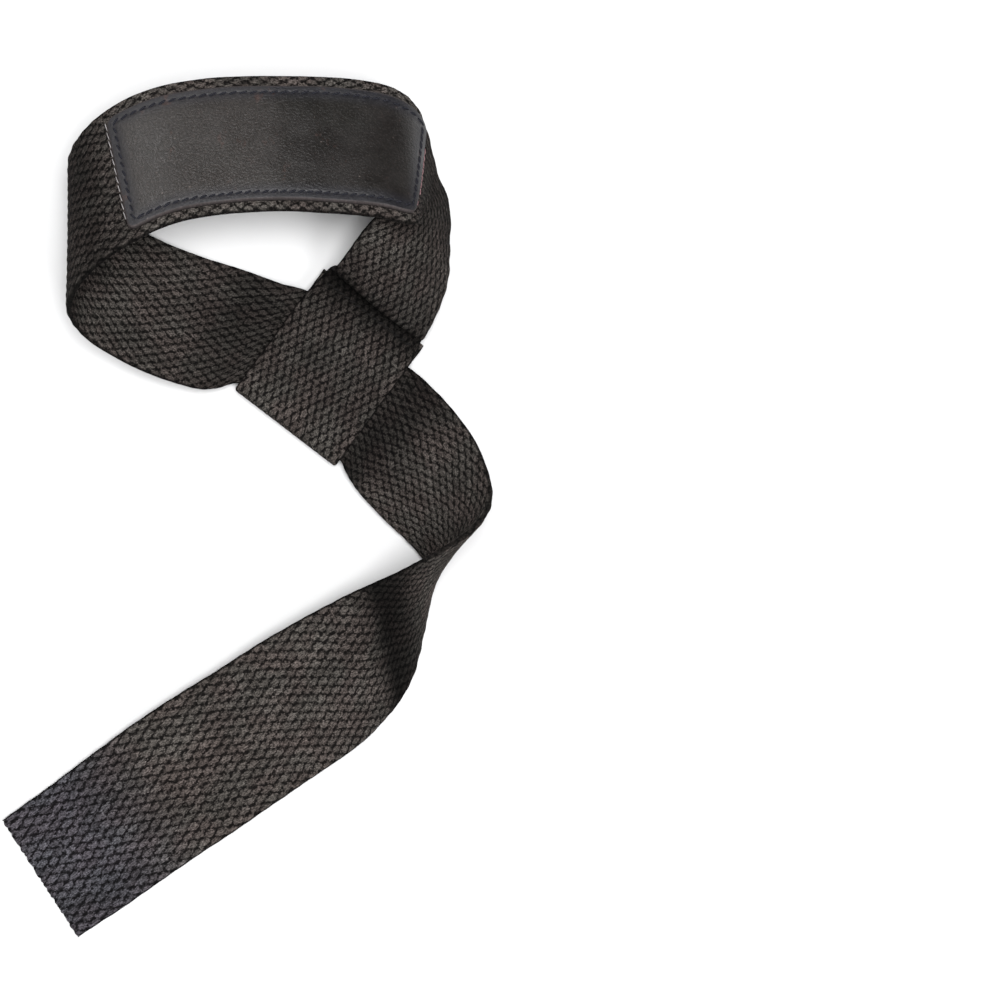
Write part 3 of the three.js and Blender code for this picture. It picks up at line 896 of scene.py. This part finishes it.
def weave_pattern(tree, place, length, across, back):
    """Relief of the floats, the place from a float's crown, and a chance value for each float."""
    drift = new_node(tree, "ShaderNodeTexNoise", {"Vector": place, "Scale": 380.0, "Detail": 2.0})
    drift = new_node(tree, "ShaderNodeSeparateXYZ", {"Vector": drift.outputs["Color"]})
    half_pitches = compute(tree, "MULTIPLY_ADD", length, 2 / FLOAT_PITCH, back)
    half_pitches = compute(tree, "MULTIPLY_ADD", drift.outputs[0], FLOAT_DRIFT[0], half_pitches)
    half_pitches = compute(tree, "SUBTRACT", half_pitches, DRIFT_MIDDLE[0])
    row = compute(tree, "MULTIPLY_ADD", across, WARP_ROWS / STRAP_WIDTH, -0.5)
    row = compute(tree, "MULTIPLY_ADD", drift.outputs[1], FLOAT_DRIFT[1], row)
    row = compute(tree, "SUBTRACT", row, DRIFT_MIDDLE[1])
    first = compute(tree, "MULTIPLY", compute(tree, "ADD", half_pitches, row), 0.5)
    second = compute(tree, "MULTIPLY", compute(tree, "SUBTRACT", half_pitches, row), 0.5)
    cell_first = compute(tree, "ROUND", first)
    cell_second = compute(tree, "ROUND", second)
    first = compute(tree, "SUBTRACT", first, cell_first)
    second = compute(tree, "SUBTRACT", second, cell_second)
    from_crown = compute(tree, "ADD", first, second)
    aside = compute(tree, "SUBTRACT", first, second)
    lengthwise = squared_share(tree, from_crown, FLOAT_LENGTH)
    sideways = squared_share(tree, aside, FLOAT_WIDTH)
    reach = compute(tree, "SQRT", compute(tree, "ADD", lengthwise, sideways))
    rough = noise(tree, place, scale=1300.0, roughness=0.6)
    reach = compute(tree, "ADD", reach, ramp(tree, rough, *FLOAT_ROUGHNESS))
    relief = ramp(tree, reach, *RELIEF_REACH)
    cell = new_node(tree, "ShaderNodeCombineXYZ", {"X": cell_first, "Y": cell_second, "Z": back})
    chance = new_node(
        tree, "ShaderNodeTexWhiteNoise", {"Vector": cell.outputs[0]}, noise_dimensions="3D",
    )
    return relief, from_crown, aside, chance.outputs["Value"]


def painted_shade_and_dye(tree, strap, place, length, across, shade):
    """Colour with painted shade in darker stretches along the strap, darker towards the selvages, cool
    and warm patches and a bluer cut end.
    """
    # painted shade: each band darkens the colour over a stretch of the strap that lies in shade
    for row, reach_out, depth in PAINTED_SHADE_BANDS:
        middle = float(weave_length(strap.length_at(strap.row(row))))
        away = compute(tree, "ABSOLUTE", compute(tree, "SUBTRACT", length, middle))
        shade = scale_colour(tree, shade, ramp(tree, away, 0.0, reach_out, 1 - depth, 1.0))
    selvage = compute(tree, "MINIMUM", across, compute(tree, "SUBTRACT", STRAP_WIDTH, across))
    shade = scale_colour(tree, shade, ramp(tree, selvage, *SELVAGE_SHADES))
    patches = noise(tree, scaled(tree, place, (95.0, 95.0, 1.0), (3.1, 7.7, 0.0)))
    tint = mix_colour(tree, ramp(tree, patches, *TINT_PATCHES), COOL_TINT, WARM_TINT)
    shade = mix_colour(tree, 1.0, shade, tint, "MULTIPLY")
    navy = ramp(tree, length, NAVY_END, NAVY_END / 3)
    bluish = mix_colour(tree, 1.0, shade, NAVY_TINT, "MULTIPLY")
    return mix_colour(tree, compute(tree, "MULTIPLY", navy, NAVY_SHARE), shade, bluish)


def webbing_material(strap):
    """Charcoal cotton: brick-laid floats with painted highlights on their crowns, painted shade in the
    gaps, ply twist with painted shade between the plies, fibres, painted shade bands and uneven dye.
    """
    material, tree, shader = start_material("charcoal_cotton_webbing", roughness=0.95, specular=0.07)
    place = new_node(tree, "ShaderNodeAttribute", attribute_name="strap_place").outputs["Vector"]
    split = new_node(tree, "ShaderNodeSeparateXYZ", {"Vector": place})
    length, across, back = split.outputs
    relief, from_crown, aside, chance = weave_pattern(tree, place, length, across, back)
    twist = compute(tree, "MULTIPLY", aside, TWIST_WAVES[1])
    twist = compute(tree, "MULTIPLY_ADD", from_crown, TWIST_WAVES[0], twist)
    twist = compute(tree, "MULTIPLY_ADD", compute(tree, "SINE", twist), 0.5, 0.5)
    fibres = noise(tree, scaled(tree, place, (1300.0, 3000.0, 1.0)), detail=3.0, roughness=0.7)
    fuzz = noise(tree, place, scale=2300.0, detail=3.0, roughness=0.7)
    mottle = noise(tree, place, scale=55.0, detail=3.0, roughness=0.55)
    flecks = noise(tree, scaled(tree, place, (700.0, 1600.0, 1.0), (1.3, 5.9, 0.0)), detail=1.0)

    yarn = mix_colour(tree, chance, YARN_DARK, YARN_LIGHT)
    # painted shade in the grooves between the plies
    yarn = mix_colour(tree, compute(tree, "MULTIPLY", twist, PLY_SHARE), yarn, PLY_GROOVE_SHADE)
    yarn = scale_colour(tree, yarn, ramp(tree, fibres, *FIBRE_SHADES))
    # painted highlight on the floats' crowns, painted shade down their sides
    yarn = scale_colour(tree, yarn, ramp(tree, relief, *PAINTED_CROWN_LIGHT))
    yarn = mix_colour(tree, ramp(tree, flecks, *FLECK_SHARES), yarn, FLECK)
    # painted shade in the pits between the floats
    shade = mix_colour(tree, ramp(tree, relief, *PIT_SHADE_RELIEF), PAINTED_PIT_SHADE, yarn)
    shade = scale_colour(tree, shade, ramp(tree, fuzz, *FUZZ_SHADES))
    shade = scale_colour(tree, shade, ramp(tree, mottle, *MOTTLE_SHADES))
    # painted shade bands, darker selvages, tints and the bluer cut end
    shade = painted_shade_and_dye(tree, strap, place, length, across, shade)
    tree.links.new(shade, shader.inputs["Base Color"])

    height = compute(tree, "MULTIPLY_ADD", twist, TWIST_BUMP, relief)
    height = compute(tree, "MULTIPLY_ADD", fuzz, FUZZ_BUMP, height)
    add_bump(tree, shader, height, strength=0.85, distance=0.00022)
    return material


def leather_colour(tree, flat, wear, painted_sheen, seam_side, raw):
    """Hide with a painted sheen, lighter and browner over its first half, bluish along the seam,
    specked, and raw at its edge.
    """
    cloud = noise(tree, scaled(tree, flat, (38.0, 60.0, 1.0)))
    specks = noise(tree, scaled(tree, flat, (640.0, 640.0, 1.0), (4.7, 2.9, 0.0)), detail=1.0)
    reddish = scaled(tree, flat, (210.0, 150.0, 1.0), (8.3, 1.9, 0.0))
    reddish = noise(tree, reddish, detail=4.0, roughness=0.7)
    leather = mix_colour(tree, wear, LEATHER_DARK, LEATHER_LIGHT)
    for share, colour in (
        (ramp(tree, cloud, *CLOUD_SHARES), LEATHER_CLOUD),
        # painted sheen over the patch's first half
        (compute(tree, "MULTIPLY", painted_sheen, PAINTED_SHEEN_SHARE), LEATHER_PAINTED_SHEEN),
        (compute(tree, "MULTIPLY", seam_side, MARGIN_SHARE), LEATHER_MARGIN),
        (ramp(tree, specks, *SPECK_SHARES), SPECK),
        (ramp(tree, reddish, *RED_SHARES), RED_FLECK),
        (compute(tree, "MULTIPLY", raw, RAW_SHARE), LEATHER_RAW),
    ):
        leather = mix_colour(tree, share, leather, colour)
    return leather


def leather_material(plan):
    """Charcoal leather: pebble grain, worn gloss, a painted sheen over its first half, blue-grey
    margins and a raw brown edge.
    """
    material, tree, shader = start_material("charcoal_leather", roughness=0.4, specular=0.44)
    place = new_node(tree, "ShaderNodeAttribute", attribute_name="patch_place").outputs["Vector"]
    split = new_node(tree, "ShaderNodeSeparateXYZ", {"Vector": place})
    along, across, edge = split.outputs
    flat = new_node(tree, "ShaderNodeCombineXYZ", {"X": along, "Y": across}).outputs[0]

    pebbles = new_node(tree, "ShaderNodeTexVoronoi", {
        "Vector": scaled(tree, flat, (1.0, 1.15, 1.0)),
        "Scale": 1500.0, "Smoothness": 0.45, "Randomness": 0.95,
    }, feature="SMOOTH_F1").outputs["Distance"]
    creases = new_node(tree, "ShaderNodeTexVoronoi", {
        "Vector": flat, "Scale": 1250.0, "Randomness": 1.0,
    }, feature="DISTANCE_TO_EDGE").outputs["Distance"]
    pores = noise(tree, flat, scale=4200.0, detail=3.0, roughness=0.65)
    wear = noise(tree, flat, scale=85.0, detail=4.0, roughness=0.6)
    # painted sheen over the patch's first half
    painted_sheen = ramp(tree, along, *(share * plan.length for share in PAINTED_SHEEN_SPAN))
    seam_side = ramp(tree, edge, *(share * SEAM_INSET for share in MARGIN_SPAN))
    raw = ramp(tree, edge, *RAW_SPAN)

    leather = leather_colour(tree, flat, wear, painted_sheen, seam_side, raw)
    leather = scale_colour(tree, leather, ramp(tree, pebbles, *PEBBLE_SHADES))
    leather = scale_colour(tree, leather, ramp(tree, pores, *PORE_SHADES))
    tree.links.new(leather, shader.inputs["Base Color"])

    gloss = ramp(tree, wear, *WORN_ROUGHNESS)
    gloss = compute(tree, "MULTIPLY_ADD", seam_side, MARGIN_ROUGHNESS, gloss)
    gloss = compute(tree, "MULTIPLY_ADD", raw, RAW_ROUGHNESS, gloss)
    tree.links.new(gloss, shader.inputs["Roughness"])

    height = compute(tree, "MULTIPLY", pebbles, PEBBLE_BUMP)
    height = compute(tree, "MULTIPLY_ADD", pores, PORE_BUMP, height)
    creases = ramp(tree, creases, 0.0, CREASE_WIDTH)
    height = compute(tree, "MULTIPLY_ADD", creases, CREASE_BUMP, height)
    add_bump(tree, shader, height, strength=0.55, distance=0.00016)
    return material


def thread_material(name, colours):
    """Twisted thread, with its ply lines and a little fuzz."""
    material, tree, shader = start_material(name, roughness=0.85, specular=0.12)
    place = new_node(tree, "ShaderNodeTexCoord").outputs["Object"]
    ply = new_node(tree, "ShaderNodeTexWave", {
        "Vector": place, "Scale": 900.0, "Distortion": 1.5, "Detail": 1.0, "Detail Scale": 2.0,
    }, bands_direction="DIAGONAL").outputs["Fac"]
    fuzz = noise(tree, place, scale=3500.0, detail=3.0, roughness=0.6)
    shade = mix_colour(tree, compute(tree, "MULTIPLY", ply, fuzz), *colours)
    tree.links.new(shade, shader.inputs["Base Color"])
    height = compute(tree, "MULTIPLY_ADD", fuzz, THREAD_FUZZ, ply)
    add_bump(tree, shader, height, strength=0.5, distance=0.00008)
    return material


def floor_material():
    """Pale studio table, with a trace of unevenness."""
    material, tree, shader = start_material("pale_floor", roughness=0.85, specular=0.1)
    place = new_node(tree, "ShaderNodeTexCoord").outputs["Object"]
    shade = mix_colour(tree, noise(tree, place, scale=3.0), *FLOOR_COLOURS)
    tree.links.new(shade, shader.inputs["Base Color"])
    return material


# Stage

def build_floor():
    mesh = bpy.data.meshes.new("floor")
    half = FLOOR_SIZE / 2
    corners = [(x * half, y * half, -FLOOR_DROP) for x, y in [(-1, -1), (1, -1), (1, 1), (-1, 1)]]
    mesh.from_pydata(corners, [], [(0, 1, 2, 3)])
    floor = bpy.data.objects.new("floor", mesh)
    bpy.context.scene.collection.objects.link(floor)
    floor.data.materials.append(floor_material())


def soft_box(name, place, aim, size, power):
    data = bpy.data.lights.new(name, "AREA")
    data.shape = "RECTANGLE"
    data.size, data.size_y = size
    data.energy = power
    light = bpy.data.objects.new(name, data)
    light.location = place
    light.rotation_euler = (Vector(aim) - Vector(place)).to_track_quat("-Z", "Y").to_euler()
    light.visible_camera = False
    bpy.context.scene.collection.objects.link(light)


def build_light():
    world = bpy.data.worlds.new("studio")
    world.use_nodes = True
    background = world.node_tree.nodes["Background"]
    background.inputs["Color"].default_value = (1.0, 1.0, 1.0, 1.0)
    background.inputs["Strength"].default_value = WORLD_STRENGTH
    bpy.context.scene.world = world
    for name, place, aim, size, power in SOFT_BOXES:
        soft_box(name, place, aim, size, power)


def build_camera():
    data = bpy.data.cameras.new("camera")
    data.sensor_width = CAMERA_SENSOR
    data.lens = CAMERA_LENS
    camera = bpy.data.objects.new("camera", data)
    camera.location = CAMERA_PLACE
    back = (Vector(CAMERA_PLACE) - Vector(CAMERA_AIM)).normalized()
    right = Vector((0.0, 1.0, 0.0)).cross(back).normalized()
    up = back.cross(right)
    camera.rotation_mode = "QUATERNION"
    columns = [right, up, back]
    rotation = [[column[i] for column in columns] for i in range(3)]
    camera.rotation_quaternion = Matrix(rotation).to_quaternion()
    bpy.context.scene.collection.objects.link(camera)
    bpy.context.scene.camera = camera


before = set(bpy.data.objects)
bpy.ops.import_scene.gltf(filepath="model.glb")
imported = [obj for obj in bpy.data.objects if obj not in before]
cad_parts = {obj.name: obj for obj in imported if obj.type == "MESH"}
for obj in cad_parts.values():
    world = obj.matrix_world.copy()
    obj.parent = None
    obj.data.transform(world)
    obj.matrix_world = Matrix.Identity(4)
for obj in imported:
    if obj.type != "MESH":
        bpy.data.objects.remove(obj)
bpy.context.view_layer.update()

build_camera()
build_light()
build_floor()
bpy.context.scene.view_settings.view_transform = "Standard"

strap = Strap()
plan = PatchPlan(strap)
webbing = build_webbing(strap)
webbing.data.materials.append(webbing_material(strap))
patch = build_patch(plan)
patch.data.materials.append(leather_material(plan))
black_thread = thread_material("black_thread", BLACK_THREAD)
keeper_thread = thread_material("charcoal_thread", CHARCOAL_THREAD)
pale_thread = thread_material("pale_thread", PALE_THREAD)
pink_thread = thread_material("pink_thread", PINK_THREAD)
stitching = [*build_patch_stitching(plan), build_keeper_seam(strap)]
for piece, thread in zip(stitching, (black_thread, black_thread, keeper_thread)):
    piece.data.materials.append(thread)
loose = build_loose_threads(plan)
for piece, thread in zip(loose, (pale_thread, pink_thread)):
    piece.data.materials.append(thread)
